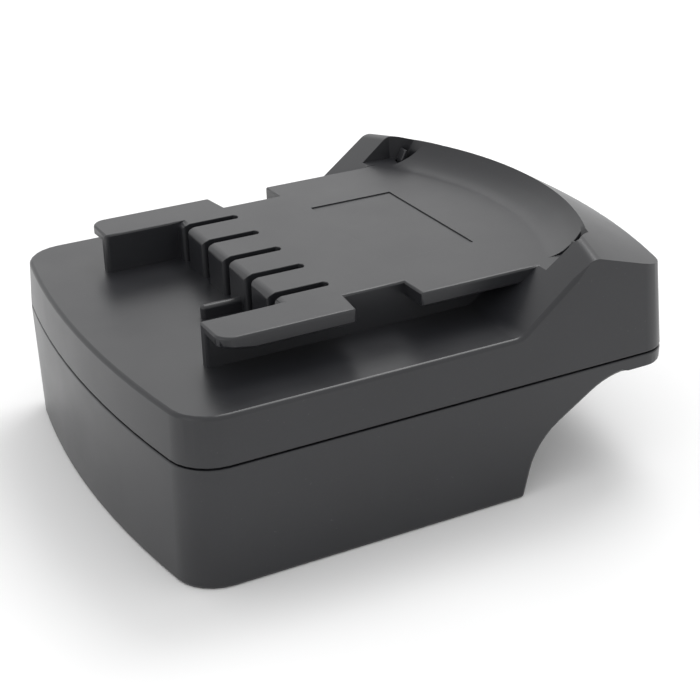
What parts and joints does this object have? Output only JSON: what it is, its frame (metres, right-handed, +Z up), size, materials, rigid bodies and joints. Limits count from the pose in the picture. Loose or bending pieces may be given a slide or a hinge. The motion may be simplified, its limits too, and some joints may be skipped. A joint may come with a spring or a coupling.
{
  "type": "tool battery adapter",
  "caption": "Slide-on adapter that lets a cordless tool take another maker's slide battery: rail and contact slots on top, open battery socket below, sprung latch with rear release button.",
  "frame": {"origin": "centre of the footprint on the surface the adapter stands on", "axes": "+X from the front (insertion) end to the rear hump, +Y across to the side away from the camera in the picture, +Z up out of the tool rail"},
  "size_m": [0.0914, 0.076, 0.0396],
  "materials": {
    "case_plastic": "fine satin moulded",
    "inner_plastic": "plain moulded",
    "button_plastic": "fine satin moulded",
    "board_laminate": "lacquered laminate",
    "component_plastic": "moulded epoxy",
    "capacitor_can": "sleeved can",
    "contact_metal": "nickel plated strip",
    "wire_red": "extruded insulation",
    "wire_black": "extruded insulation",
    "wire_yellow": "extruded insulation",
    "wire_white": "extruded insulation",
    "spring_steel": "drawn wire",
    "screw_steel": "zinc plated"
  },
  "bodies": {
    "case": {"upper_shell": "case_plastic", "lower_shell": "case_plastic", "contact_carrier": "inner_plastic", "tool_contact_1": "contact_metal", "tool_contact_2": "contact_metal", "tool_contact_3": "contact_metal", "tool_contact_4": "contact_metal", "tool_contact_5": "contact_metal", "terminal_block": "inner_plastic", "battery_blade_positive": "contact_metal", "battery_blade_negative": "contact_metal", "battery_blade_signal_1": "contact_metal", "battery_blade_signal_2": "contact_metal", "circuit_board": "board_laminate", "power_transistors": "component_plastic", "control_chip": "component_plastic", "capacitor": "capacitor_can", "fuse": "contact_metal", "chip_resistors": "component_plastic", "wire_positive": "wire_red", "wire_negative": "wire_black", "wire_signal_1": "wire_yellow", "wire_signal_2": "wire_white", "latch_spring_left": "spring_steel", "latch_spring_right": "spring_steel", "latch_retainer": "inner_plastic", "case_screws": "screw_steel", "board_screws": "screw_steel", "carrier_screws": "screw_steel", "terminal_screws": "screw_steel", "retainer_screws": "screw_steel"},
    "latch": {"latch_bar": "case_plastic"},
    "button": {"release_button": "button_plastic"}
  },
  "joints": [
    {"name": "latch_drop", "type": "slide", "parent": "case", "child": "latch", "axis": [0, 0, -1], "range_m": [0, 0.003], "stiffness_N_per_m": 800, "springref_m": -0.002, "deforming": ["latch_spring_left", "latch_spring_right"]},
    {"name": "button_press", "type": "slide", "parent": "case", "child": "button", "axis": [-1, 0, 0], "range_m": [0, 0.003]}
  ],
  "couplings": [
    {"joint": "button_press", "follows": "latch_drop", "ratio": 1}
  ]
}
